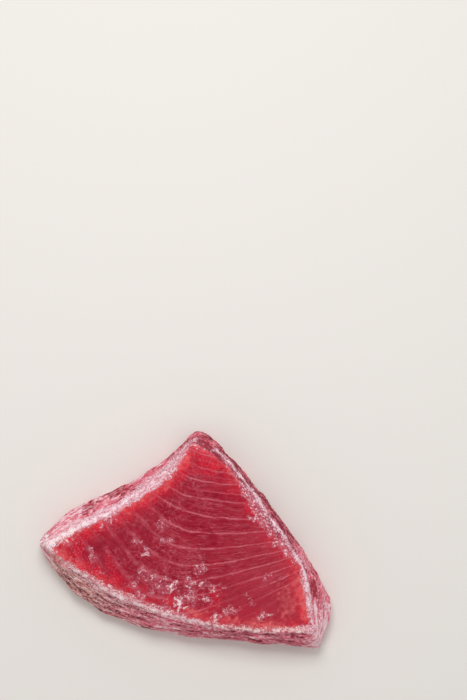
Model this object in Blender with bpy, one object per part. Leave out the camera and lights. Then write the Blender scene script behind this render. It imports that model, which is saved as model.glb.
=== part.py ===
"""Raw tuna steak: a frozen slab cut across the loin of a large tuna, as one solid.

The cut face lies level on top, with +X to its right and +Y towards its pointed back corner. The
origin is on the floor under the middle of the slab. Lengths are in metres.
"""

import math

import bmesh
import bpy
from mathutils import Vector, noise
from mathutils.geometry import delaunay_2d_cdt, interpolate_bezier

MM = 0.001

# Driving sizes of the slab.
LENGTH = 146 * MM
DEPTH = 109 * MM
THICKNESS = 23 * MM
GIRTH_HEIGHT = 7 * MM
FOOT_TUCK = 0.05
SIDE_BULGE = 1.5

# The girth is the slab's widest outline, and the rim is the edge of the cut face. Both have four
# edges, clockwise from the sharp left tip: the back left, the right, the short right end and the
# skin side. An edge is its first corner and two handles, as shares of LENGTH and DEPTH, and how
# far from the corner its rounding starts.
GIRTH = (
    ((-0.499, -0.019), (-0.361, 0.267), (-0.163, 0.146), 2.0 * MM),
    ((0.043, 0.523), (0.215, 0.314), (0.417, -0.028), 8.0 * MM),
    ((0.500, -0.291), (0.501, -0.349), (0.479, -0.440), 6.0 * MM),
    ((0.464, -0.503), (0.053, -0.432), (-0.341, -0.489), 3.0 * MM),
)
RIM = (
    ((-0.470, -0.011), (-0.340, 0.071), (-0.061, 0.198), 2.0 * MM),
    ((0.021, 0.450), (0.214, 0.344), (0.249, 0.071), 7.0 * MM),
    ((0.393, -0.106), (0.404, -0.193), (0.421, -0.284), 5.0 * MM),
    ((0.438, -0.399), (0.164, -0.422), (-0.178, -0.330), 2.0 * MM),
)

# The bevel between the rim and the side: its share of the way out to the girth along each edge,
# how far it drops, and how much it steepens on the way.
BEVEL_SHARES = (0.50, 0.60, 0.20, 0.22)
BEVEL_DROPS = (3.0 * MM, 3.0 * MM, 1.6 * MM, 1.6 * MM)
BEVEL_CURVE = 1.5

# How fine the facets are. A cap's facets stay a share of their size clear of its edge.
FACET = 2.0 * MM
UNDER_FACET = 9.0 * MM
EDGE_CLEARANCE = 0.6
CORNER_FACETS = (4, 8, 7, 5)
BEVEL_RINGS = 2
SIDE_RINGS = 8
FOOT_RINGS = 3
CURVE_STEPS = 160
BLEND_POINTS = 5
SAME_POINT = 1e-7
SHARP_ANGLE = math.radians(40)

# Muscle bands. They nest about a bend: their right limbs fan out from a far point, and their left
# limbs run down at an angle. The bend is tighter near the pointed back corner. The bands get
# narrower towards the skin side, and less so on the left, where they are shifted a little too.
FAN_CENTRE = (115 * MM, 12.5 * MM)
FAN_RADIUS = 89.5 * MM
LIMB_ANGLE = math.radians(56)
LIMB_OFFSET = 0.9 * MM
BAND_BEND = 9 * MM
CORNER_BEND = 5 * MM
BEND_FROM = 12 * MM
BEND_TO = 34 * MM
BAND_WIDTH = 7.6 * MM
BAND_NARROWING = 33.5 * MM
BAND_START = 0.55
LEFT_SPREAD = 0.65
LEFT_SHIFT = 0.3
LEFT_FROM = 2 * MM
LEFT_TO = -28 * MM
BAND_SWELL = 0.14 * MM

# Relief: how far each kind stands proud, and its size along the surface. That of the side fades
# out over the rings next to the rim and over the foot.
FACE_WAVE = 0.45 * MM
FACE_WAVE_SIZE = 30 * MM
LUMP = 0.80 * MM
LUMP_SIZE = 11 * MM
CRAG = 0.65 * MM
CRAG_SIZE = 4.5 * MM
LAYER = 0.60 * MM
LAYER_PITCH = 4.6 * MM
LAYER_WANDER = 2.2 * MM
LAYER_WANDER_SIZE = 26 * MM
RIM_FADE_RINGS = 4
CRUST = 0.32 * MM
CRUST_SIZE = 3.2 * MM
CRUST_WIDTH = 6 * MM

FLESH_COLOUR = (0.43, 0.035, 0.058, 1.0)
FLESH_ROUGHNESS = 0.42


def clear_scene():
    for obj in list(bpy.data.objects):
        bpy.data.objects.remove(obj)


def on_plan(share):
    """A point of an outline's drawing, at real size."""
    return Vector((share[0] * LENGTH, share[1] * DEPTH, 0.0))


def chain_length(points):
    return sum((b - a).length for a, b in zip(points, points[1:]))


def walk(points, start, end, count):
    """count points at even steps along a chain of points, from start to end."""
    found = []
    gone = 0.0
    at = 0
    for step in range(count):
        target = start + (end - start) * step / (count - 1)
        while at < len(points) - 2 and gone + (points[at + 1] - points[at]).length < target:
            gone += (points[at + 1] - points[at]).length
            at += 1
        stride = (points[at + 1] - points[at]).length
        found.append(points[at].lerp(points[at + 1], (target - gone) / stride))
    return found


def bezier(edge, after):
    """The fine points of one edge, from its corner to the next edge's."""
    knots = [on_plan(share) for share in (*edge[:3], after[0])]
    return interpolate_bezier(*knots, CURVE_STEPS)


def edge_counts():
    """How many points each edge of an outline gets, the same for the rim as for the girth."""
    counts = []
    for edge, after in zip(GIRTH, GIRTH[1:] + GIRTH[:1]):
        curve = bezier(edge, after)
        counts.append(round(chain_length(curve) / FACET))
    return counts


def rounded_outline(outline, counts):
    """The points of a closed outline: each corner's rounding, then the edge that leaves it."""
    curves = []
    for edge, after, count in zip(outline, outline[1:] + outline[:1], counts):
        curve = bezier(edge, after)
        curves.append(walk(curve, edge[3], chain_length(curve) - after[3], count))
    points = []
    for index, edge in enumerate(outline):
        before = curves[index - 1][-1]
        corner = on_plan(edge[0])
        start = curves[index][0]
        handles = (before.lerp(corner, 2 / 3), start.lerp(corner, 2 / 3))
        arc = interpolate_bezier(before, *handles, start, CORNER_FACETS[index] + 2)
        points += arc[1:-1] + curves[index]
    return points


def round_the_loop(values, counts):
    """One value for each point of an outline, blended where one edge meets the next."""
    sharp = []
    for value, corner, count in zip(values, CORNER_FACETS, counts):
        sharp += [value] * (corner + count)
    span = range(-BLEND_POINTS, BLEND_POINTS + 1)
    return [sum(sharp[(i + k) % len(sharp)] for k in span) / len(span) for i in range(len(sharp))]


def side_rings():
    """The rings of points down the slab's side, from the rim to the foot."""
    counts = edge_counts()
    rim = rounded_outline(RIM, counts)
    girth = rounded_outline(GIRTH, counts)
    shares = round_the_loop(BEVEL_SHARES, counts)
    drops = round_the_loop(BEVEL_DROPS, counts)
    rings = []
    for step in range(BEVEL_RINGS + 1):
        part = step / BEVEL_RINGS
        ring = []
        for inner, outer, share, drop in zip(rim, girth, shares, drops):
            point = inner.lerp(outer, share * part)
            point.z = THICKNESS - drop * part ** BEVEL_CURVE
            ring.append(point)
        rings.append(ring)
    for step in range(1, SIDE_RINGS + 1):
        part = step / SIDE_RINGS
        out = 1 - (1 - part) ** SIDE_BULGE
        ring = []
        for inner, outer, share, drop in zip(rim, girth, shares, drops):
            point = inner.lerp(outer, share + (1 - share) * out)
            point.z = (THICKNESS - drop) * (1 - part) + GIRTH_HEIGHT * part
            ring.append(point)
        rings.append(ring)
    for step in range(1, FOOT_RINGS + 1):
        turn = step / FOOT_RINGS * math.pi / 2
        ring = [point * (1 - FOOT_TUCK * (1 - math.cos(turn))) for point in girth]
        for point in ring:
            point.z = GIRTH_HEIGHT * (1 - math.sin(turn))
        rings.append(ring)
    return rings


def inside(point, ring):
    """Whether a point lies inside a ring, seen from above."""
    crossings = 0
    for a, b in zip(ring, ring[1:] + ring[:1]):
        if (a.y > point.y) != (b.y > point.y):
            crossings += point.x < a.x + (point.y - a.y) * (b.x - a.x) / (b.y - a.y)
    return crossings % 2 == 1


def lattice(ring, spacing):
    """Points at the corners of even triangles, inside a ring and clear of its edge."""
    row_height = spacing * math.sqrt(3) / 2
    columns = math.ceil(LENGTH / 2 / spacing)
    rows = math.ceil(DEPTH / 2 / row_height)
    found = []
    for row in range(-rows, rows + 1):
        for column in range(-columns, columns + 1):
            x = (column + row % 2 / 2) * spacing
            point = Vector((x, row * row_height, ring[0].z))
            clearance = min((point - p).length for p in ring)
            if inside(point, ring) and clearance > spacing * EDGE_CLEARANCE:
                found.append(point)
    return found


def cap(bm, ring, spacing):
    """Fills a ring of vertices with even triangles, and gives the vertices added inside it."""
    edge_points = [v.co.copy() for v in ring]
    added = [bm.verts.new(point) for point in lattice(edge_points, spacing)]
    verts = ring + added
    flat = [v.co.xy for v in verts]
    edge_face = list(range(len(ring)))
    keep_inside = 1
    triangles = delaunay_2d_cdt(flat, [], [edge_face], keep_inside, SAME_POINT)[2]
    for triangle in triangles:
        bm.faces.new([verts[i] for i in triangle])
    return added


def smooth_rise(share):
    """0 below a share of 0 and 1 above 1, with no kink."""
    share = min(1.0, max(0.0, share))
    return share * share * (3 - 2 * share)


def band_phase(x, y):
    """Which muscle band a point of the cut face is in: whole numbers lie on the lines between."""
    fan = math.atan2(FAN_CENTRE[1] - y, FAN_CENTRE[0] - x) * FAN_RADIUS
    limb = -x * math.sin(LIMB_ANGLE) - y * math.cos(LIMB_ANGLE) - LIMB_OFFSET
    at_corner = smooth_rise((y - BEND_FROM) / (BEND_TO - BEND_FROM))
    bend = BAND_BEND + (CORNER_BEND - BAND_BEND) * at_corner
    level = (fan + limb) / 2 + math.hypot((fan - limb) / 2, bend)
    left = smooth_rise((x - LEFT_FROM) / (LEFT_TO - LEFT_FROM))
    narrowing = (level / BAND_NARROWING) ** 2 * (1 - LEFT_SPREAD * left)
    return BAND_START + level / BAND_WIDTH + narrowing + LEFT_SHIFT * left


def bumps(point, size):
    """Smooth noise from -1 to 1 whose bumps have this size."""
    return noise.noise(point / size)


def face_relief(point, from_edge):
    """How far the cut face stands proud, with its muscle bands and the frost crust at its rim."""
    swell = 0.5 - 0.5 * math.cos(2 * math.pi * band_phase(point.x, point.y))
    crust = max(0.0, 1 - from_edge / CRUST_WIDTH)
    return (
        FACE_WAVE * bumps(point, FACE_WAVE_SIZE)
        + BAND_SWELL * swell * (1 - crust)
        + CRUST * crust * bumps(point, CRUST_SIZE)
    )


def side_relief(point):
    """How far the side stands proud: lumps, crags and the layers that run along it."""
    wander = LAYER_WANDER * bumps(point, LAYER_WANDER_SIZE)
    layer = math.cos(2 * math.pi * (point.z + wander) / LAYER_PITCH)
    return (
        LUMP * bumps(point, LUMP_SIZE)
        + CRAG * bumps(point, CRAG_SIZE)
        + LAYER * layer * (0.5 + bumps(point, LUMP_SIZE))
    )


def roughen(bm, rings, face_verts):
    """Gives the cut face and the side their relief. The underside stays flat, to rest on."""
    bm.normal_update()
    rim = [v.co.copy() for v in rings[0]]
    moves = []
    for vert in face_verts:
        from_edge = min((vert.co - p).length for p in rim)
        moves.append((vert, vert.normal * face_relief(vert.co, from_edge)))
    for number, ring in enumerate(rings[:-1]):
        from_rim = (number + 1) / RIM_FADE_RINGS
        from_foot = (len(rings) - 1 - number) / FOOT_RINGS
        share = min(1.0, from_rim, from_foot)
        for vert in ring:
            moves.append((vert, vert.normal * side_relief(vert.co) * share))
    for vert, move in moves:
        vert.co += move


def centre_on_origin(bm):
    """Puts the middle of the slab's box over the origin, with its underside at height 0."""
    low = Vector(min(v.co[axis] for v in bm.verts) for axis in range(3))
    high = Vector(max(v.co[axis] for v in bm.verts) for axis in range(3))
    middle = (low + high) / 2
    bmesh.ops.translate(bm, verts=bm.verts, vec=(-middle.x, -middle.y, -low.z))


def steak_mesh():
    bm = bmesh.new()
    rings = [[bm.verts.new(point) for point in ring] for ring in side_rings()]
    for upper, lower in zip(rings, rings[1:]):
        for i in range(len(upper)):
            bm.faces.new((upper[i - 1], upper[i], lower[i], lower[i - 1]))
    face_verts = cap(bm, rings[0], FACET)
    cap(bm, rings[-1], UNDER_FACET)
    bmesh.ops.recalc_face_normals(bm, faces=bm.faces)
    roughen(bm, rings, face_verts)
    centre_on_origin(bm)
    mesh = bpy.data.meshes.new("tuna_steak")
    bm.to_mesh(mesh)
    bm.free()
    return mesh


def flesh_material():
    material = bpy.data.materials.new("raw_tuna")
    material.use_nodes = True
    shader = material.node_tree.nodes["Principled BSDF"]
    shader.inputs["Base Color"].default_value = FLESH_COLOUR
    shader.inputs["Roughness"].default_value = FLESH_ROUGHNESS
    shader.inputs["Metallic"].default_value = 0.0
    return material


def make_steak():
    mesh = steak_mesh()
    mesh.materials.append(flesh_material())
    mesh.shade_smooth()
    mesh.set_sharp_from_angle(angle=SHARP_ANGLE)
    steak = bpy.data.objects.new("tuna_steak", mesh)
    bpy.context.scene.collection.objects.link(steak)
    return steak


clear_scene()
make_steak()
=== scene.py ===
# %% [markdown]
# # A raw tuna steak, frozen
# The real thing is one slab of dark red muscle with a level cut on top, a flat one below, and
# frost on its edges. Its solid is one closed body, which stays as it is, because it is what is
# weighed and put down. Everything here is built round it: a finer copy of the slab, then ice.

# %% Load the solid
import math

import bpy
import numpy as np
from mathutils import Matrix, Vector, geometry, kdtree, noise


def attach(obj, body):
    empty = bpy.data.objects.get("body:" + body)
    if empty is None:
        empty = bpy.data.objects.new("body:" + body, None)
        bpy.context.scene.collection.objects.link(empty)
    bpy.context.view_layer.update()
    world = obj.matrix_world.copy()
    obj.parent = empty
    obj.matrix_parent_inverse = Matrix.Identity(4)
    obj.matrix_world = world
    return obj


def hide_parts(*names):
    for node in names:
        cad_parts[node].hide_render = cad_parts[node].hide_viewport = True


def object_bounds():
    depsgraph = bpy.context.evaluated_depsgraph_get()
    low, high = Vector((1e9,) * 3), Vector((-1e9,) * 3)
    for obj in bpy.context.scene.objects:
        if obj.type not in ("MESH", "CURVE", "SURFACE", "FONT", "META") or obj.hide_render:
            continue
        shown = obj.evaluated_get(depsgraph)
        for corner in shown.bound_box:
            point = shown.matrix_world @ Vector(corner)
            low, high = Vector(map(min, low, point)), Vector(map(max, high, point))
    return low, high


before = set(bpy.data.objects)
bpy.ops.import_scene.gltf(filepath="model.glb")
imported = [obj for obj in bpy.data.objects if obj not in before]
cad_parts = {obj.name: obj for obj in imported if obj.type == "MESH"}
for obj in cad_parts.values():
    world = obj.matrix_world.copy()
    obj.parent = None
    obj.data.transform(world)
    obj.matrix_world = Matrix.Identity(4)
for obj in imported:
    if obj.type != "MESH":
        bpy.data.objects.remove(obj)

MM = 0.001
SOLID = "tuna_steak"
solid_low, solid_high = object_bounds()
TOP = solid_high.z
print("solid, mm:", [round(side / MM, 1) for side in solid_high - solid_low])

# %% [markdown]
# ## The camera
# The steak was photographed from straight above, so the camera looks straight down. The lens
# isn't guessed: it follows from how much of the table one pixel covers at the slab's widest
# level, and from how far away the camera is.

# %% Camera
# The photograph's width and height in pixels, and the place under its middle in millimetres.
PHOTO_SIZE = (467, 700)
PHOTO_SPOT = (24.0, 94.75)
PIXEL = 0.5 * MM
GIRTH_HEIGHT = 7 * MM
CAMERA_DISTANCE = 1.0
SENSOR = 36.0

camera_spot = (PHOTO_SPOT[0] * MM, PHOTO_SPOT[1] * MM, GIRTH_HEIGHT + CAMERA_DISTANCE)
bpy.ops.object.camera_add(location=camera_spot, rotation=(0, 0, 0))
camera = bpy.context.object
camera.name = "camera"
camera.data.sensor_width = SENSOR
camera.data.lens = SENSOR * CAMERA_DISTANCE / (PHOTO_SIZE[1] * PIXEL)
bpy.context.scene.camera = camera
print("lens, mm:", round(camera.data.lens, 1))

# %% [markdown]
# ## The light
# Soft daylight fell from above and from behind, which brightens the back edge and leaves the
# front edge in shade. One large lamp does that. A pale world round it fills the shadows. The
# Standard view transform keeps reds as strong as the shader makes them.

# %% Light
KEY_SPOT = (-0.03, 0.46, 0.80)
KEY_SIZE = 0.36
KEY_POWER = 3.70
FILL_COLOUR = (1.0, 0.99, 0.98, 1)
FILL = 0.55

bpy.ops.object.light_add(type="AREA", location=KEY_SPOT)
key = bpy.context.object
key.name = "key"
key.data.size = KEY_SIZE
key.data.energy = KEY_POWER
key.rotation_euler = (-Vector(KEY_SPOT)).to_track_quat("-Z", "Y").to_euler()
world = bpy.data.worlds.new("studio")
world.use_nodes = True
world.node_tree.nodes["Background"].inputs["Color"].default_value = FILL_COLOUR
world.node_tree.nodes["Background"].inputs["Strength"].default_value = FILL
bpy.context.scene.world = world
bpy.context.scene.view_settings.view_transform = "Standard"

# %% [markdown]
# ## Shader maths as plain Python
# A material is a network of nodes, and a formula takes many of them. This class wraps a socket,
# so that a + b or 1 - mask on it adds the Math nodes, and the materials below read like formulas.

# %% Shader maths
# Sockets by their number: four of the Mix node, and one each of the two that read the surface.
MIX_FACTOR = 0
MIX_LOW = 6
MIX_HIGH = 7
MIX_COLOUR = 2
OBJECT_PLACE = 3
ATTRIBUTE_VALUE = 2


class Shade:
    """A socket of a material. Python's operators on it add Math nodes."""

    def __init__(self, tree, socket=None):
        self.tree = tree
        self.socket = socket

    def node(self, kind, settings=None, inputs=None, output=0):
        """Adds any node: its settings first, then the values or links of its sockets."""
        made = self.tree.nodes.new(kind)
        for name, value in (settings or {}).items():
            setattr(made, name, value)
        for name, value in (inputs or {}).items():
            if isinstance(value, Shade):
                self.tree.links.new(value.socket, made.inputs[name])
            else:
                made.inputs[name].default_value = value
        return Shade(self.tree, made.outputs[output])

    def maths(self, operation, *values):
        return self.node("ShaderNodeMath", {"operation": operation}, dict(enumerate(values)))

    def __add__(self, other):
        return self.maths("ADD", self, other)

    def __radd__(self, other):
        return self.maths("ADD", other, self)

    def __sub__(self, other):
        return self.maths("SUBTRACT", self, other)

    def __rsub__(self, other):
        return self.maths("SUBTRACT", other, self)

    def __mul__(self, other):
        return self.maths("MULTIPLY", self, other)

    def __truediv__(self, other):
        return self.maths("DIVIDE", self, other)

    def __pow__(self, other):
        return self.maths("POWER", self, other)

    def __abs__(self):
        return self.maths("ABSOLUTE", self)

    def step(self, low, high):
        """0 below low and 1 above high, with a smooth rise. It falls where low is the larger."""
        values = {"Value": self, "From Min": low, "From Max": high}
        return self.node("ShaderNodeMapRange", {"interpolation_type": "SMOOTHSTEP"}, values)

    def mix(self, low, high):
        """Goes from the colour low to the colour high as this value goes from 0 to 1."""
        values = {MIX_FACTOR: self, MIX_LOW: low, MIX_HIGH: high}
        return self.node("ShaderNodeMix", {"data_type": "RGBA"}, values, MIX_COLOUR)


class Paint(Shade):
    """A new material, the places on its surface, and the patterns that it is made of."""

    def __init__(self, name):
        self.material = bpy.data.materials.new(name)
        self.material.use_nodes = True
        super().__init__(self.material.node_tree)
        self.shader = self.tree.nodes["Principled BSDF"]

    def place(self):
        """The place on the piece, in millimetres: as a vector, and its three numbers."""
        spot = self.node("ShaderNodeTexCoord", output=OBJECT_PLACE)
        spot = self.node("ShaderNodeVectorMath", {"operation": "SCALE"}, {0: spot, "Scale": 1 / MM})
        numbers = [self.node("ShaderNodeSeparateXYZ", None, {0: spot}, axis) for axis in range(3)]
        return spot, *numbers

    def attribute(self, name):
        return self.node("ShaderNodeAttribute", {"attribute_name": name}, output=ATTRIBUTE_VALUE)

    def vector(self, x, y, z):
        return self.node("ShaderNodeCombineXYZ", None, {0: x, 1: y, 2: z})

    def clouds(self, spot, size, detail=2.0, roughness=0.5):
        """Soft noise from 0 to 1 whose lumps have this size, in the units of the spot."""
        values = {"Vector": spot, "Scale": 1 / size, "Detail": detail, "Roughness": roughness}
        return self.node("ShaderNodeTexNoise", None, values)

    def finish(self, constants, **sockets):
        """Puts values and links on the shader's sockets, and gives the material."""
        for name, value in constants.items():
            self.shader.inputs[name].default_value = value
        for name, value in sockets.items():
            self.tree.links.new(value.socket, self.shader.inputs[name.replace("_", " ")])
        print("material:", self.material.name, len(self.tree.nodes), "nodes")
        return self.material


# %% [markdown]
# ## The floor
# The steak lies on a plain pale table. It is a large plane, so no edge of it shows.

# %% Floor
FLOOR_SIZE = 8.0
FLOOR_COLOUR = (0.86, 0.83, 0.79, 1)


def floor_material():
    paint = Paint("pale_table")
    spot = paint.place()[0]
    grain = paint.clouds(spot, 1.5).step(0.2, 0.8)
    return paint.finish({"Base Color": FLOOR_COLOUR}, Roughness=0.75 + grain * 0.1)


bpy.ops.mesh.primitive_plane_add(size=FLOOR_SIZE)
floor = bpy.context.object
floor.name = "floor"
floor.data.materials.append(floor_material())

# %% [markdown]
# ## The slab, made finer
# The solid has facets two millimetres wide. A copy of it is remeshed into small even squares, and
# a few rounds of smoothing melt the old facets. The copy's triangles are loose, so they are
# merged first: a remesh needs one closed skin.

# %% Slab
GRAIN = 0.56 * MM
MERGE = 0.005 * MM
MELT_ROUNDS = 9
MELT_FACTOR = 0.5


def select_only(piece):
    bpy.ops.object.select_all(action="DESELECT")
    piece.select_set(True)
    bpy.context.view_layer.objects.active = piece


def new_piece(name, mesh):
    piece = bpy.data.objects.new(name, mesh)
    bpy.context.scene.collection.objects.link(piece)
    select_only(piece)
    return piece


def apply_modifier(piece, kind, settings):
    """Adds a modifier with these settings, and applies it."""
    modifier = piece.modifiers.new(kind, kind)
    for name, value in settings.items():
        setattr(modifier, name, value)
    select_only(piece)
    bpy.ops.object.modifier_apply(modifier=modifier.name)


steak = new_piece("steak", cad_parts[SOLID].data.copy())
bpy.ops.object.mode_set(mode="EDIT")
bpy.ops.mesh.select_all(action="SELECT")
bpy.ops.mesh.remove_doubles(threshold=MERGE)
bpy.ops.object.mode_set(mode="OBJECT")
steak.data.remesh_voxel_size = GRAIN
bpy.ops.object.voxel_remesh()
apply_modifier(steak, "SMOOTH", {"factor": MELT_FACTOR, "iterations": MELT_ROUNDS})
print("slab:", len(steak.data.polygons), "faces")

# %% [markdown]
# ## Where the rim is
# Frost and the clear border follow the rim of the cut face, so each point of the surface has to
# know how far from the rim it lies. The rim is drawn here with the four curves that the solid was
# drawn with, clockwise from the sharp left tip: back left, right, the short end, and the skin side.

# %% Rim
LENGTH = 146.0
DEPTH = 109.0
RIM = (
    ((-0.470, -0.011), (-0.340, 0.071), (-0.061, 0.198)),
    ((0.021, 0.450), (0.214, 0.344), (0.249, 0.071)),
    ((0.393, -0.106), (0.404, -0.193), (0.421, -0.284)),
    ((0.438, -0.399), (0.164, -0.422), (-0.178, -0.330)),
)
SKIN_EDGE = 3
CURVE_STEPS = 200
ROUNDING = 9
EDGE_BLEND = 31


def smooth_round(values, width):
    """A moving average round a closed line."""
    half = width // 2
    return sum(np.roll(values, shift, axis=0) for shift in range(-half, half + 1)) / (2 * half + 1)


def rim_line():
    """Points along the rim in millimetres, how much each is of the skin side, and how far round."""
    points = []
    on_skin = []
    for number, (edge, after) in enumerate(zip(RIM, RIM[1:] + RIM[:1])):
        knots = [Vector((x * LENGTH, y * DEPTH, 0)) for x, y in (*edge, after[0])]
        curve = geometry.interpolate_bezier(*knots, CURVE_STEPS)[:-1]
        points += [tuple(point.xy) for point in curve]
        on_skin += [float(number == SKIN_EDGE)] * len(curve)
    points = smooth_round(np.array(points), ROUNDING)
    skin = smooth_round(np.array(on_skin), EDGE_BLEND)
    strides = np.linalg.norm(points - np.roll(points, 1, axis=0), axis=1)
    return points, skin, np.cumsum(strides)


rim, rim_skin, rim_along = rim_line()
print("rim, mm:", round(rim_along[-1]))

# %% [markdown]
# ## Measuring the surface
# The shaders and the ice have to know where each point of the slab lies: how far inside the rim, in
# millimetres, which is below zero down the sides; which point of the rim is nearest, as that tells
# how far round the slab it is and whether it is on the skin side; and whether it is underneath.

# %% Measure
FACE_DEPTH = 2.6
UNDER_HEIGHT = 0.7
UNDER_FACING = -0.8
UNDER_EDGE = 5.0


def points_of(mesh, name="co"):
    found = np.empty(len(mesh.vertices) * 3)
    mesh.vertices.foreach_get(name, found)
    return found.reshape(-1, 3)


def keep(piece, name, values):
    """Stores one number for each point, which shaders and geometry nodes read by its name."""
    attribute = piece.data.attributes.new(name, "FLOAT", "POINT")
    attribute.data.foreach_set("value", np.asarray(values, np.float32))


def nearest_on_rim(points):
    """For each point, the number of the nearest rim point, seen from above."""
    tree = kdtree.KDTree(len(rim))
    for number, (x, y) in enumerate(rim):
        tree.insert((x, y, 0), number)
    tree.balance()
    return np.array([tree.find((x, y, 0))[1] for x, y, z in points])


spots = points_of(steak.data) / MM
facing = points_of(steak.data, "normal")
near = nearest_on_rim(spots)
ahead = np.roll(rim, -1, axis=0) - np.roll(rim, 1, axis=0)
outward = np.stack((-ahead[:, 1], ahead[:, 0]), axis=1) / np.linalg.norm(ahead, axis=1)[:, None]
level_inset = -np.einsum("ij,ij->i", spots[:, :2] - rim[near], outward[near])
drop = TOP / MM - spots[:, 2]
under = (spots[:, 2] < UNDER_HEIGHT) & (facing[:, 2] < UNDER_FACING)
on_face = (level_inset > 0) & (drop < FACE_DEPTH)
inset = np.where(on_face, level_inset, -np.hypot(np.minimum(level_inset, 0), drop))
inset = np.where(under, level_inset + UNDER_EDGE, inset)
print("inset, mm:", round(inset.min(), 1), "to", round(inset.max(), 1))

# %% [markdown]
# ## Where the frost is
# Frost forms where the cold dries the flesh: as a crust along the bevel, as a white crest on the
# rim, and in feathery patches on the cut face. At the sharp tip that white is partly a painted
# highlight. It isn't the same all the way round, so a profile of the rim gives its reach and
# strength at some places, and the rest is in between. Beside it, and in other spots, the flesh is
# clear: no haze lies on it, and its red is strongest. At the very edge, light comes through the
# clear flesh and makes it shine.

# %% Frost
# How far round the rim, which is 344 mm long; how far the frost reaches inside it and outside it,
# and its strength; how far outside the rim its white crest lies, and the strength of that; how
# clear the flesh is beside the frost; how far the light that comes through the edge reaches; and
# how pale the side is, which is partly the side's own tone and partly painted shade and light:
# painted shade darkens the right side, and painted light brightens the short end. The second row
# makes the crest end at once at the sharp tip.
INSIDE, OUTSIDE, STRENGTH, CREST, WHITENESS, CLEARNESS, LIGHT, PALENESS_AND_SHADE = range(1, 9)
RIM_PROFILE = np.array((
    # At the sharp tip the crest is whitest, partly frost and partly a painted highlight.
    (0, 0.6, 6.0, 0.80, 1.8, 1.90, 0.60, 5.0, 0.05),
    (0.54, 0.0, 1.0, 0.30, 1.6, 0.35, 1.00, 9.0, 0.10),
    (14, 0.6, 5.0, 0.76, 1.4, 1.75, 0.80, 3.5, 0.04),
    (30, 0.0, 5.4, 0.76, 2.0, 1.20, 0.70, 1.0, 0.04),
    (46, 0.6, 5.8, 0.80, 3.0, 1.15, 0.80, 3.5, 0.00),
    (58, 0.4, 8.5, 0.80, 3.5, 1.05, 1.00, 4.5, -0.04),
    (70, 1.2, 8.5, 0.78, 3.5, 1.00, 1.00, 5.0, -0.03),
    (86, 0.0, 8.0, 0.60, 3.5, 0.78, 1.00, 5.0, -0.08),
    (93, 0.5, 5.0, 0.40, 3.8, 0.72, 0.90, 2.5, -0.12),
    (104, 0.6, 5.4, 0.26, 4.6, 0.85, 0.60, 1.0, -0.20),
    (114, 0.8, 5.2, 0.36, 4.2, 1.10, 0.50, 1.5, -0.20),
    (125, 2.6, 4.8, 0.52, 3.6, 1.08, 0.45, 1.5, -0.20),
    (145, 3.4, 4.8, 0.46, 3.6, 1.02, 0.25, 1.0, -0.18),
    (160, 2.8, 4.8, 0.28, 3.9, 0.88, 0.30, 2.0, -0.16),
    (174, 0.2, 3.0, 0.46, 1.4, 1.22, 0.85, 6.0, -0.04),
    (188, 0.0, 3.0, 0.44, 0.3, 1.05, 1.00, 7.5, 0.03),
    (198, 0.0, 3.0, 0.42, 0.2, 0.88, 1.00, 8.0, 0.06),
    (204, 0.2, 3.0, 0.48, 0.2, 0.98, 1.00, 7.0, 0.18),
    (210, 2.0, 1.8, 0.46, -0.6, 0.92, 0.60, 4.5, -0.07),
    (238, 1.6, 2.4, 0.46, 0.4, 0.94, 0.35, 4.0, -0.06),
    (262, 0.8, 3.2, 0.52, 1.4, 0.98, 0.40, 4.0, -0.02),
    (272, 1.2, 3.8, 0.54, 1.6, 1.00, 0.40, 3.0, -0.02),
    (285, 1.6, 4.6, 0.62, 2.0, 1.02, 0.30, 2.0, -0.06),
    (300, 1.2, 6.0, 0.66, 2.4, 0.98, 0.60, 2.5, 0.01),
    (322, 0.9, 5.0, 0.62, 2.2, 0.92, 0.80, 2.5, 0.02),
    (332, 0.6, 3.5, 0.50, 1.8, 0.80, 0.80, 4.0, 0.02),
    (339, 0.0, 1.5, 0.34, 1.6, 0.45, 1.00, 7.0, 0.04),
))
CREST_WIDTH = 2.1
CLEAR_REACH = 11.0
UNDER_FROST = 0.25
PATCH_CORE = 0.45
PATCH_EDGE = 1.25
# How many millimetres one pixel covers on the cut face, which is nearer to the camera than the
# widest level is.
FACE_PIXEL = 0.492
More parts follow.
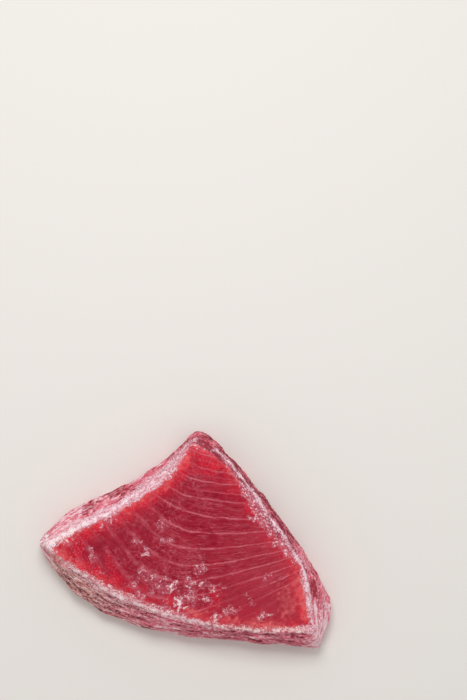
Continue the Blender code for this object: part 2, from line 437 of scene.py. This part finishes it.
# Patches of frost, of clear flesh, and of flesh that is bare amid the frost. Each has its place in
# the photograph, across and down in pixels, half its length and half its width, its turn in
# degrees, and its strength. Shining patches are where light comes through the edge.
FROST_AND_HIGHLIGHT_PATCHES = (
    # The first two, at the sharp tip, are partly frost and partly a painted highlight.
    (56, 541, 19, 5, -9, 1.80),
    (49, 543, 12, 5, -9, 3.20),
    (200, 449, 13, 2, 18, 0.95),
    (322, 609, 4, 8, -15, 0.90),
    (302, 628, 12, 3, 0, 1.10),
    (303, 575, 4, 12, -12, 1.20),
    (148, 577, 22, 8, 42, 0.52),
    (160, 588, 20, 13, 35, 0.56),
    (156, 578, 9, 5, 40, 0.80),
    (172, 586, 5, 6, 0, 1.30),
    (179, 603, 5, 10, 10, 1.70),
    (168, 612, 10, 5, 15, 1.20),
    (165, 604, 3, 6, 0, 0.90),
    (190, 585, 8, 6, -30, 0.85),
    (191, 598, 5, 10, 0, 0.75),
    (206, 599, 6, 4, 0, 1.20),
    (210, 587, 16, 5, 10, 0.75),
    (200, 567, 7, 12, 10, 0.66),
    (147, 552, 5, 4, 0, 1.05),
    (135, 542, 7, 3, 10, 0.85),
    (91, 553, 4, 14, -8, 0.72),
    (110, 519, 11, 6, -35, 0.90),
    (133, 585, 7, 6, 0, 0.75),
    (137, 594, 10, 4, 30, 0.85),
    (257, 517, 9, 3, -10, 1.00),
    (280, 545, 8, 4, 40, 0.90),
    (287, 555, 6, 3, 0, 0.95),
    (229, 611, 9, 5, 10, 0.70),
    (216, 619, 6, 6, 0, 1.15),
    (263, 616, 7, 5, -15, 0.95),
    (248, 596, 3, 3, 0, 0.80),
    (252, 604, 5, 3, 0, 0.60),
    (267, 577, 4, 2, 20, 0.62),
    (163, 525, 9, 6, 30, 0.60),
    (100, 573, 4, 6, -20, 0.70),
    (166, 540, 8, 4, 20, 0.60),
    (180, 514, 5, 3, 20, 0.70),
)
BARE_PATCHES = (
    (204, 442, 9, 5, 25, 0.75),
    (113, 492, 16, 6, -22, 1.8),
    (88, 507, 10, 5, -38, 1.3),
    (314, 588, 5, 13, -20, 0.9),
)
CLEAR_PATCHES = (
    (203, 466, 22, 14, 30, 1.0),
    (180, 474, 10, 7, -45, 1.0),
    (160, 490, 10, 6, -35, 0.8),
    (143, 504, 9, 7, -40, 0.8),
    (121, 520, 8, 7, -30, 0.7),
    (99, 526, 7, 9, 20, 0.9),
    (78, 549, 8, 14, 10, 1.0),
    (94, 571, 9, 7, 25, 1.0),
    (115, 572, 24, 6, 65, 0.8),
    (141, 588, 7, 4, 0, 0.8),
    (171, 598, 6, 7, 0, 0.9),
    (216, 600, 9, 14, 0, 0.8),
    (245, 612, 22, 7, 0, 0.25),
    (232, 492, 13, 4, 0, 0.6),
    (250, 508, 9, 7, 40, 0.7),
    (269, 541, 6, 5, 0, 0.5),
    (297, 574, 7, 14, -15, 0.7),
    (303, 608, 8, 18, -10, 0.8),
)
SHINING_PATCHES = (
    (53, 555, 13, 8, 48, 1.6),
    (68, 565, 8, 4, 40, 0.8),
    (90, 577, 8, 3, 38, 0.8),
    (104, 589, 6, 3, 30, 0.7),
    (150, 497, 9, 3, -35, 0.7),
    (166, 483, 9, 3, -40, 0.8),
    (130, 509, 7, 3, -30, 0.6),
    (289, 603, 9, 19, -5, 0.7),
    (264, 624, 30, 5, 2, 1.0),
    (228, 621, 14, 4, 5, 0.9),
    (193, 613, 14, 4, 15, 0.8),
)


def wander(points, size, seed=0.0):
    """Soft noise about zero at each point, whose lumps have this size."""
    return np.array([noise.noise((x / size, y / size, z / size + seed)) for x, y, z in points])


def rise(values, low, high):
    """0 below low and 1 above high, with a smooth rise."""
    share = np.clip((values - low) / (high - low), 0, 1)
    return share * share * (3 - 2 * share)


def patches(table, rough_edge, east_of, north_of):
    """How strongly each point of the cut face lies in the patches of a table."""
    found = np.zeros(len(spots))
    for across, down, long, wide, turn, strength in table:
        x = PHOTO_SPOT[0] + (across - PHOTO_SIZE[0] / 2) * FACE_PIXEL
        y = PHOTO_SPOT[1] + (PHOTO_SIZE[1] / 2 - down) * FACE_PIXEL
        angle = -math.radians(turn)
        east, north = east_of - x, north_of - y
        along = east * math.cos(angle) + north * math.sin(angle)
        beside = north * math.cos(angle) - east * math.sin(angle)
        reach = np.hypot(along / (long * FACE_PIXEL), beside / (wide * FACE_PIXEL))
        share = 1 - rise(reach, PATCH_CORE, PATCH_EDGE * rough_edge)
        found = np.maximum(found, strength * share)
    return found * rise(facing[:, 2], 0.0, 0.3)


def at_rim(column):
    """A column of the profile at the rim point nearest to each point."""
    values = np.interp(rim_along, RIM_PROFILE[:, 0], RIM_PROFILE[:, column], period=rim_along[-1])
    return values[near]


rough_edge = np.maximum(1 + 1.2 * wander(spots, 1.7, 5.0) + 0.6 * wander(spots, 0.8, 9.0), 0.5)
feathered = [
    spots[:, axis] + 3.0 * wander(spots, 2.6, seed) + 1.2 * wander(spots, 1.1, seed + 5.0)
    for axis, seed in ((0, 31.0), (1, 41.0))
]
broken = rise(wander(spots, 1.5, 51.0) + 0.5 * wander(spots, 0.8, 61.0), -0.20, 0.20)
ragged = 1.5 * wander(spots, 3.4) + 0.9 * wander(spots, 1.3, 3.0)
outside = -inset
inner = rise(outside + ragged, -at_rim(INSIDE) - 1.5, -at_rim(INSIDE) + 1.0)
outer = 1 - rise(outside + ragged, at_rim(OUTSIDE) - 1.5, at_rim(OUTSIDE) + 2.0)
from_crest = (outside + 0.5 * ragged - at_rim(CREST)) / CREST_WIDTH
crest = at_rim(WHITENESS) * np.exp(-(from_crest**2))
crest *= 1 + 0.5 * wander(spots, 2.4, 13.0)
bare = np.minimum(patches(BARE_PATCHES, rough_edge, *feathered), 1.0)
frost = np.maximum(at_rim(STRENGTH) * inner * outer, crest)
haze = patches(FROST_AND_HIGHLIGHT_PATCHES, rough_edge, *feathered)
frost = np.maximum(frost, haze * (0.30 + 0.50 * broken)) * (1 - bare)
frost = np.where(under, UNDER_FROST, frost)
beside_rim = at_rim(CLEARNESS) * (1 - rise(inset + ragged, 1.5, CLEAR_REACH))
clear_spots = patches(CLEAR_PATCHES, np.maximum(1 + 0.4 * ragged, 0.5), *feathered)
clear = np.where(under, 0.0, np.maximum(beside_rim, clear_spots))
uneven = np.clip(0.75 + 1.1 * wander(spots, 4.0, 17.0) + 0.7 * wander(spots, 1.6, 27.0), 0.1, 1.15)
shining = at_rim(CLEARNESS) * uneven * (1 - rise(inset + 1.6 * ragged, 0.0, at_rim(LIGHT)))
shining *= rise(inset, -1.2, 0.2)
lit = uneven * patches(SHINING_PATCHES, rough_edge, *feathered) * rise(inset, -7.0, -4.0)
shining = np.maximum(shining, lit)
shining = np.where(under, 0.0, np.minimum(shining, 1.0))
print("frosted share of the surface:", round(float((frost > 0.5).mean()), 2))

# %% [markdown]
# ## Crags and crust
# The sides broke along the layers of the muscle, so they have strands that run round the slab, and
# the frost is a rough crust. Displace modifiers push the surface out by noise, held to the right
# places by vertex groups. An empty squeezed in height draws a round noise out into long strands.
# How far each point was pushed is kept as well, because frost sits on ridges and not in hollows,
# and the hollows are darkened with painted shade.

# %% Relief
STRAND_SIZE = 2.6 * MM
STRAND_SQUEEZE = 0.30
STRAND_HEIGHT = 1.20 * MM
CRAG_SIZE = 1.1 * MM
CRAG_HEIGHT = 0.60 * MM
CRUST_SIZE = 0.80 * MM
CRUST_HEIGHT = 0.60 * MM
RIPPLE_SIZE = 1.6 * MM
RIPPLE_HEIGHT = 0.10 * MM
LEAST_WEIGHT = 0.01
SKIN_INSET = 0.5


def weigh(piece, name, weights):
    """A vertex group, which tells a modifier how much of its effect each point gets."""
    group = piece.vertex_groups.new(name=name)
    for number, weight in enumerate(weights):
        if weight > LEAST_WEIGHT:
            group.add([number], float(weight), "REPLACE")
    return name


def push_out(piece, name, size, height, weights, squeeze=1.0):
    """Moves the surface in and out by cloudy noise."""
    texture = bpy.data.textures.new(name, "CLOUDS")
    texture.noise_scale = size
    texture.noise_depth = 2
    bpy.ops.object.empty_add(location=(0, 0, 0))
    guide = bpy.context.object
    guide.scale.z = squeeze
    bpy.context.view_layer.update()
    settings = {
        "texture": texture,
        "texture_coords": "OBJECT",
        "texture_coords_object": guide,
        "strength": height,
        "mid_level": 0.5,
        "vertex_group": weigh(piece, name, weights),
    }
    apply_modifier(piece, "DISPLACE", settings)
    bpy.data.objects.remove(guide)


lying = rise(spots[:, 2], 0.3, 2.5)
beyond_rim = rise(-inset, 0.0, 3.0) * lying
crusted = rise(frost, 0.3, 0.9) * lying * (1 - 0.5 * rise(inset, 1.0, 4.0))
push_out(steak, "strands", STRAND_SIZE, STRAND_HEIGHT, beyond_rim, STRAND_SQUEEZE)
push_out(steak, "crags", CRAG_SIZE, CRAG_HEIGHT, beyond_rim)
push_out(steak, "crust", CRUST_SIZE, CRUST_HEIGHT, crusted)
push_out(steak, "ripples", RIPPLE_SIZE, RIPPLE_HEIGHT, on_face.astype(float))

settled = points_of(steak.data)
settled[:, 2] = np.maximum(settled[:, 2], 0.0)
steak.data.vertices.foreach_set("co", settled.ravel())
steak.data.update()
pushed = np.einsum("ij,ij->i", settled / MM - spots, facing)
print("pushed, mm:", round(float(pushed.min()), 2), "to", round(float(pushed.max()), 2))
keep(steak, "inset", inset)
keep(steak, "around", rim_along[near])
keep(steak, "skin", rim_skin[near] * (inset < SKIN_INSET))
# How pale the side is: partly its own tone, partly painted shade and painted light.
keep(steak, "paleness_and_shade", at_rim(PALENESS_AND_SHADE))
keep(steak, "frost", frost)
keep(steak, "haze", haze)
keep(steak, "clear", clear)
keep(steak, "shining", shining)
keep(steak, "bare", bare)
keep(steak, "pushed", pushed)
steak.data.shade_smooth()
print("slab, mm:", [round(float(side) / MM, 1) for side in settled.max(0) - settled.min(0)])

# %% [markdown]
# ## The muscle lines
# Pale lines of connective tissue nest about a bend. To the right they fan out from a far point,
# and to the left they run down at an angle, so a line's number is a formula of its place: the
# larger of an angle and a distance, with the corner between the two rounded off. Towards the
# pointed back corner the bend is tighter, the fan's lines run more level, and finer lines lie
# halfway and a quarter of the way between the main ones.

# %% Muscle lines
FAN_CENTRE = (115.0, 12.5)
FAN_RADIUS = 89.5
LEVELLING = 0.65
LEVEL_FROM = 8.0
LEVEL_TO = 26.0
LEVEL_ABOUT = 10.0
LIMB_ANGLE = math.radians(56)
LIMB_OFFSET = 0.9
BAND_BEND = 9.0
CORNER_BEND = 5.0
BEND_FROM = 12.0
BEND_TO = 34.0
BAND_WIDTH = 7.6
BAND_NARROWING = 33.5
BAND_START = 0.55
LEFT_SPREAD = 0.65
LEFT_SHIFT = 0.3
LEFT_FROM = 2.0
LEFT_TO = -28.0
LINE_HALF_WIDTH = 0.56


def muscle_level(paint, x, y):
    """How many millimetres across the bands a place is."""
    level_off = y.step(LEVEL_FROM, LEVEL_TO) * LEVELLING
    across = x + (LEVEL_ABOUT - x) * level_off
    away = paint.maths("ARCTAN2", FAN_CENTRE[1] - y, FAN_CENTRE[0] - across)
    fan = away * FAN_RADIUS
    limb = x * -math.sin(LIMB_ANGLE) - y * math.cos(LIMB_ANGLE) - LIMB_OFFSET
    half = (fan - limb) / 2
    bend = y.step(BEND_FROM, BEND_TO) * (CORNER_BEND - BAND_BEND) + BAND_BEND
    return (fan + limb) / 2 + (half * half + bend * bend) ** 0.5


def from_whole(paint, phase, per_mm):
    """How many millimetres a place is from the nearest line, which lies at a whole number."""
    return abs(phase - paint.maths("ROUND", phase)) / per_mm


def muscle_lines(paint, spot, x, y):
    """The main lines, and the finer ones between them, each from 0 to 1, and the soft fibres."""
    left = x.step(LEFT_FROM, LEFT_TO)
    wobble = paint.clouds(spot, 9.0, 3.0) * 2.0 - 1.0
    level = muscle_level(paint, x, y) + wobble
    narrowing = (level / BAND_NARROWING) ** 2 * (1 - left * LEFT_SPREAD)
    phase = BAND_START + level / BAND_WIDTH + narrowing + left * LEFT_SHIFT
    per_mm = 1 / BAND_WIDTH + level * (2 / BAND_NARROWING**2)
    from_line = from_whole(paint, phase, per_mm)
    strength = paint.clouds(spot, 5.0, 3.0).step(0.25, 0.62)
    main = (from_line / (1 + left * 1.2)).step(LINE_HALF_WIDTH, 0.05)
    faint = (y + x * 0.25).step(-5.0, -20.0) * x.step(5.0, 25.0)
    patchy = paint.clouds(spot, 7.0, 2.0).step(0.62, 0.40)
    main = main * (0.25 + strength * 0.75) * (1 - left * (0.44 + patchy * 0.40))
    main = main * (1 - faint * 0.85)
    stretched = paint.vector(level * 0.9, x * 0.05, y * 0.05)
    fibres = paint.clouds(stretched, 1.0, 3.0, 0.6)
    thin = paint.clouds(paint.vector(level * 1.6, x * 0.09, y * 0.09), 1.0, 2.0, 0.5)
    fine = abs(fibres - 0.5).step(0.035, 0.005) * paint.clouds(spot, 7.0).step(0.40, 0.55)
    fine = fine + abs(thin - 0.5).step(0.030, 0.005) * 0.6
    fine = fine * (1 - left * 0.55) * (1 - faint * 0.75)
    corner = y + x * 0.3
    beside = x.step(-6.0, 8.0) * (0.3 + strength * 0.7)
    halves = from_whole(paint, phase * 2.0, per_mm * 2.0).step(0.55, 0.05)
    halves = halves * corner.step(24.0, 31.0)
    fourths = from_whole(paint, phase * 4.0, per_mm * 4.0).step(0.40, 0.05)
    fourths = fourths * corner.step(30.0, 37.0)
    fine = paint.maths("MAXIMUM", fine, (halves * 1.5 + fourths * 0.9) * beside)
    main = main * (1 - corner.step(26.0, 36.0) * 0.35) * (1 - x.step(16.0, -8.0) * 0.12)
    return main, fine, fibres


print("a line every", BAND_WIDTH, "mm at the bend")

# %% [markdown]
# ## The flesh
# Fresh tuna is crimson. Where the slab is thin or clear, near the rim, light passes through and it
# turns a strong orange red. The middle is duller, with a thin haze of frost. The sides are drier:
# pink and dark red strands, and a grey brown cast on the skin side. Frost lies over all of it.

# %% Flesh
DEEP = (0.280, 0.002, 0.018, 1)
CRIMSON = (0.370, 0.008, 0.029, 1)
HAZY = (0.520, 0.045, 0.072, 1)
DUST = (0.580, 0.140, 0.190, 1)
PURE = (0.550, 0.002, 0.024, 1)
GLOWING = (0.840, 0.026, 0.042, 1)
SALMON = (0.880, 0.185, 0.180, 1)
LINE = (0.660, 0.140, 0.185, 1)
BEAD = (0.760, 0.270, 0.330, 1)
SIDE_DARK = (0.260, 0.018, 0.038, 1)
SIDE_PINK = (0.800, 0.185, 0.250, 1)
SIDE_WHITE = (0.950, 0.640, 0.710, 1)
SKIN_DARK = (0.110, 0.045, 0.042, 1)
SKIN_BROWN = (0.680, 0.268, 0.250, 1)
SKIN_PALE = (0.940, 0.620, 0.600, 1)
BARE = (0.350, 0.022, 0.042, 1)
VEIL = (0.600, 0.180, 0.245, 1)
RIME = (0.720, 0.370, 0.430, 1)
ICE = (0.930, 0.580, 0.665, 1)
SNOW = (0.990, 0.860, 0.890, 1)
CREAM = (0.950, 0.600, 0.570, 1)
# Where looks set in and fade out round the rim, in millimetres from the sharp tip, clockwise.
BROWN_FROM = (275.0, 325.0)
BROWN_TO = (350.0, 336.0)
BACK_FROM = (330.0, 345.0)
BACK_TO = (98.0, 84.0)
CREAM_FROM = (203.0, 212.0)
CREAM_TO = (246.0, 262.0)
TIP_TO = (28.0, 10.0)
DULL_SHINE = 0.12
ROUGHNESS = 0.38
BUMP_HEIGHT = 0.35 * MM


def face_colour(paint, spot, x, y, inset, clear, mottled):
    """The cut face: crimson, its lines, and the clear flesh along the rim."""
    main, fine, fibres = muscle_lines(paint, spot, x, y)
    mottle = paint.clouds(spot, 4.0, 5.0, 0.75).step(0.36, 0.64)
    colour = mottle.mix(DEEP, CRIMSON)
    hazy = fibres.step(0.45, 0.75) * 0.3 + (x + y * -0.5).step(10.0, 55.0) * 0.4
    colour = hazy.mix(colour, HAZY)
    dust = paint.clouds(spot, 1.4, 4.0, 0.8).step(0.50, 0.66)
    dust = dust * paint.clouds(spot, 14.0).step(0.34, 0.56)
    dust = dust * (0.12 + x.step(20.0, 0.0) * x.step(-50.0, -30.0) * 0.58)
    colour = dust.mix(colour, DUST)
    dim = paint.clouds(spot, 3.2, 3.0, 0.7).step(0.50, 0.38)
    sparks = paint.clouds(spot, 0.9, 3.0, 0.75).step(0.52, 0.66)
    colour = (clear * (0.9 - dim * 0.5)).mix(colour, PURE)
    broad = paint.clouds(spot, 6.0, 2.0).step(0.42, 0.56)
    glow = clear * inset.step(9.0, 1.5) * (0.6 + mottled * 0.4) * (1 - dim * 0.5)
    colour = (glow * (0.35 + broad * 0.65)).mix(colour, GLOWING)
    sparks = sparks * (0.24 + x.step(-22.0, -50.0) * 0.36 + inset.step(7.0, 2.0) * 0.16)
    colour = (clear * sparks).mix(colour, BEAD)
    colour = (fine * 0.40 * (1 - clear * 0.5)).mix(colour, LINE)
    colour = (main * (0.76 - clear * 0.5)).mix(colour, LINE)
    beads = paint.clouds(spot, 1.3, 3.0, 0.7).step(0.52, 0.66)
    return (main * beads * 0.6).mix(colour, BEAD)


def side_colour(paint, spot, z, inset, around):
    """The sides: ridges pale with frost, hollows darkened with painted shade, and brown on the left
    of the skin side.
    """
    down = paint.vector(around * 0.075, inset * 0.48, around * 0.03)
    strands = paint.clouds(down, 1.0, 4.0, 0.7)
    smooth = z.step(14.0, 6.0)
    tone = (strands - 0.5) * (1.15 + smooth * 0.45)
    tone = tone + (paint.clouds(spot, 1.3, 3.0, 0.7) - 0.5) * (0.55 - smooth * 0.3)
    # How pale the side is darkens the right side with painted shade and lightens the short end with
    # painted light.
    # Ridges come out paler and hollows darker by how far they were pushed; the dark in the hollows
    # is painted shade.
    tone = tone + 0.5 + paint.attribute("pushed") * 0.35 + paint.attribute("paleness_and_shade")
    flesh = tone.step(0.30, 0.46).mix(SIDE_DARK, SIDE_PINK)
    flesh = tone.step(0.50, 0.68).mix(flesh, SIDE_WHITE)
    skin = tone.step(0.36, 0.45).mix(SKIN_DARK, SKIN_BROWN)
    skin = tone.step(0.50, 0.60).mix(skin, SKIN_PALE)
    pits = paint.clouds(spot, 0.9, 3.0, 0.7).step(0.46, 0.38) * (1 - smooth * 0.7)
    skin = (pits * 0.7).mix(skin, SKIN_DARK)
    seams = paint.clouds(paint.vector(around * 0.045, inset * 0.60, 0.0), 1.0, 2.0, 0.6)
    seams = abs(seams - 0.5).step(0.030, 0.008) * paint.attribute("skin")
    left = around.step(*BROWN_FROM) * around.step(*BROWN_TO)
    flesh = (paint.attribute("bare") * (0.6 + tone.step(0.60, 0.46) * 0.4)).mix(flesh, BARE)
    colour = (paint.attribute("skin") * left * 0.9).mix(flesh, skin)
    return (seams * 0.6).mix(colour, SKIN_DARK)


def threads(paint, spot, size):
    """A net of thin lines from 0 to 1, as feathery as frost on a pane."""
    return abs(paint.clouds(spot, size, 2.0, 0.6) - 0.5).step(0.030, 0.004)


def frost_over(paint, colour, spot, inset, around):
    """Lays the frost over a colour. It gives how icy the surface is as well."""
    frost = paint.attribute("frost")
    grains = paint.clouds(spot, 1.4, 4.0, 0.75)
    fine = paint.clouds(spot, 0.8, 2.0, 0.6)
    holes = paint.clouds(spot, 1.1, 3.0, 0.7)
    streaks = paint.clouds(paint.vector(around * 0.25, inset * 1.0, 0.0), 1.0, 4.0, 0.7)
    lace = paint.maths("MAXIMUM", threads(paint, spot, 3.2), threads(paint, spot, 1.9))
    veil = frost.step(0.10, 0.75) * (0.16 + holes.step(0.40, 0.58) * 0.6)
    haze = paint.attribute("haze").step(0.10, 0.80) * (0.08 + holes.step(0.42, 0.58) * 0.46)
    veil = paint.maths("MAXIMUM", veil, haze)
    streaks = (streaks - 0.5) * 2.0 * inset.step(2.0, -1.0)
    rough = (grains - 0.5) * 2.0 + (fine - 0.5) * 1.4 + streaks
    netted = frost.step(0.15, 0.45) * frost.step(1.2, 0.7)
    cover = frost + rough + (lace - 0.3) * netted * 0.6
    icy = cover.step(0.55, 0.95) * frost.step(0.05, 0.3)
    back = paint.maths("MAXIMUM", around.step(*BACK_TO), around.step(*BACK_FROM))
    colour = veil.mix(colour, (inset.step(1.5, -1.0) * back).mix(VEIL, RIME))
    warm = around.step(*CREAM_FROM) * (1 - around.step(*CREAM_TO) * 0.5)
    warm = paint.maths("MAXIMUM", warm, around.step(*TIP_TO) * 0.6)
    whiter = cover.step(1.0, 1.5) * (1 - inset.step(3.0, 9.0) * 0.5)
    ice = whiter.mix(warm.mix(ICE, CREAM), SNOW)
    return icy.mix(colour, ice), icy, grains


def flesh_material():
    paint = Paint("raw_tuna")
    spot, x, y, z = paint.place()
    inset = paint.attribute("inset")
    around = paint.attribute("around")
    clear = paint.attribute("clear")
    mottled = paint.clouds(spot, 1.7, 4.0, 0.75).step(0.40, 0.60)
    face = face_colour(paint, spot, x, y, inset, clear, mottled)
    side = side_colour(paint, spot, z, inset, around)
    colour = inset.step(0.2, -1.4).mix(face, side)
    colour = (paint.attribute("shining") * (0.28 + mottled * 0.52)).mix(colour, SALMON)
    colour, icy, grains = frost_over(paint, colour, spot, inset, around)
    rough = ROUGHNESS + icy * 0.30
    height = grains * (0.15 + icy * 0.85)
    bump = {"Strength": 0.5, "Distance": BUMP_HEIGHT, "Height": height}
    normal = paint.node("ShaderNodeBump", None, bump)
    fixed = {"Specular IOR Level": DULL_SHINE}
    return paint.finish(fixed, Base_Color=colour, Roughness=rough, Normal=normal)


steak.data.materials.clear()
steak.data.materials.append(flesh_material())
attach(steak, "root")
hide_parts(SOLID)

# %% [markdown]
# ## Ice crystals
# The frost has grains that catch the light. One grain is modelled, a flattened ball with a few
# faces, and geometry nodes set copies of it on the slab, thickest where the frost is. Making the
# instances real and applying the modifier leaves one plain mesh of all the grains.

# %% Crystals
TINT_NAME = "tint"
CHIPPED = 0.25
CHIP_SEED = 4
GRAIN_RADIUS = 0.30 * MM
GRAIN_STRETCH = (1.0, 0.8, 0.6)
NEEDLE_RADIUS = 0.24 * MM
NEEDLE_STRETCH = (2.2, 0.55, 0.4)
ICE_PINK = (0.72, 0.26, 0.33, 1)
ICE_WHITE = (0.97, 0.80, 0.85, 1)
ICE_IOR = 1.31


def crystal(name, radius, stretch):
    """One grain of ice with few faces, to be copied."""
    bpy.ops.mesh.primitive_ico_sphere_add(subdivisions=1, radius=radius)
    grain = bpy.context.object
    grain.name = name
    bpy.ops.object.mode_set(mode="EDIT")
    bpy.ops.mesh.select_all(action="SELECT")
    bpy.ops.transform.resize(value=stretch)
    bpy.ops.transform.vertex_random(offset=radius * CHIPPED, seed=CHIP_SEED)
    bpy.ops.object.mode_set(mode="OBJECT")
    return grain


class Scatter(Shade):
    """A geometry node tree that sets copies of a grain on a surface."""

    def __init__(self, name):
        tree = bpy.data.node_groups.new(name, "GeometryNodeTree")
        tree.interface.new_socket("Geometry", in_out="INPUT", socket_type="NodeSocketGeometry")
        tree.interface.new_socket("Geometry", in_out="OUTPUT", socket_type="NodeSocketGeometry")
        super().__init__(tree)

    def give(self, result):
        """Makes this the result of the tree."""
        made = self.tree.nodes.new("NodeGroupOutput")
        self.tree.links.new(result.socket, made.inputs[0])

    def draw(self, kind, low, high, seed):
        """A random number or vector for each grain. The node has sockets for each of the two."""
        first, last, output = (0, 1, 0) if kind == "FLOAT_VECTOR" else (2, 3, 1)
        values = {first: low, last: high, "Seed": seed}
        return self.node("FunctionNodeRandomValue", {"data_type": kind}, values, output)


def scatter(name, host, grain, density, sizes, lean, seed, mask):
    """Copies of a grain over a host, as one mesh: density is grains a square millimetre."""
    plan = Scatter(name)
    surface = plan.node("NodeGroupInput")
    where = plan.node("GeometryNodeInputNamedAttribute", {"data_type": "FLOAT"}, {"Name": mask})
    values = {"Mesh": surface, "Density": where * (density / MM**2), "Seed": seed}
    spread = plan.node("GeometryNodeDistributePointsOnFaces", None, values)
    turn = Shade(plan.tree, spread.socket.node.outputs["Rotation"])
    shape = plan.node("GeometryNodeObjectInfo", None, {"Object": grain, "As Instance": True})
    shape = Shade(plan.tree, shape.socket.node.outputs["Geometry"])
    size = plan.draw("FLOAT", sizes[0], sizes[1], seed + 1)
    values = {"Points": spread, "Instance": shape, "Rotation": turn, "Scale": size}
    grains = plan.node("GeometryNodeInstanceOnPoints", None, values)
    spin = plan.draw("FLOAT_VECTOR", (-lean, -lean, -math.pi), (lean, lean, math.pi), seed + 2)
    grains = plan.node("GeometryNodeRotateInstances", None, {"Instances": grains, "Rotation": spin})
    tint = plan.draw("FLOAT", 0.0, 1.0, seed + 3)
    values = {"Geometry": grains, "Name": TINT_NAME, "Value": tint}
    settings = {"data_type": "FLOAT", "domain": "INSTANCE"}
    grains = plan.node("GeometryNodeStoreNamedAttribute", settings, values)
    grains = plan.node("GeometryNodeRealizeInstances", None, {"Geometry": grains})
    plan.give(grains)
    piece = new_piece(name, host.data.copy())
    piece.vertex_groups.clear()
    apply_modifier(piece, "NODES", {"node_group": plan.tree})
    return piece


def ice_material(name, pale, white):
    paint = Paint(name)
    tint = paint.attribute(TINT_NAME)
    spot = paint.place()[0]
    colour = tint.step(0.2, 1.0).mix(pale, white)
    rough = 0.35 + paint.clouds(spot, 0.3) * 0.4
    return paint.finish({"IOR": ICE_IOR}, Base_Color=colour, Roughness=rough)


rim_grain = crystal("rim_grain", GRAIN_RADIUS, GRAIN_STRETCH)
needle_grain = crystal("needle_grain", NEEDLE_RADIUS, NEEDLE_STRETCH)
keep(steak, "rim_ice", rise(frost, 0.45, 1.0) * lying)
keep(steak, "face_ice", on_face * rise(frost, 0.35, 0.9))
keep(steak, "speck_ice", on_face * (1.0 - rise(frost, 0.2, 0.6)))
rim_frost = scatter("rim_frost", steak, rim_grain, 1.0, (0.35, 1.15), 0.6, 11, "rim_ice")
face_frost = scatter("face_frost", steak, needle_grain, 1.3, (0.3, 1.0), 0.3, 23, "face_ice")
specks = scatter("specks", steak, rim_grain, 0.014, (0.2, 0.5), 0.4, 37, "speck_ice")
frost_ice = ice_material("frost_ice", ICE_PINK, ICE_WHITE)
for ice in (rim_frost, face_frost, specks):
    ice.data.materials.clear()
    ice.data.materials.append(frost_ice)
    ice.data.shade_flat()
    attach(ice, "root")
    print(ice.name, len(ice.data.polygons), "faces")
for grain in (rim_grain, needle_grain):
    bpy.data.objects.remove(grain)
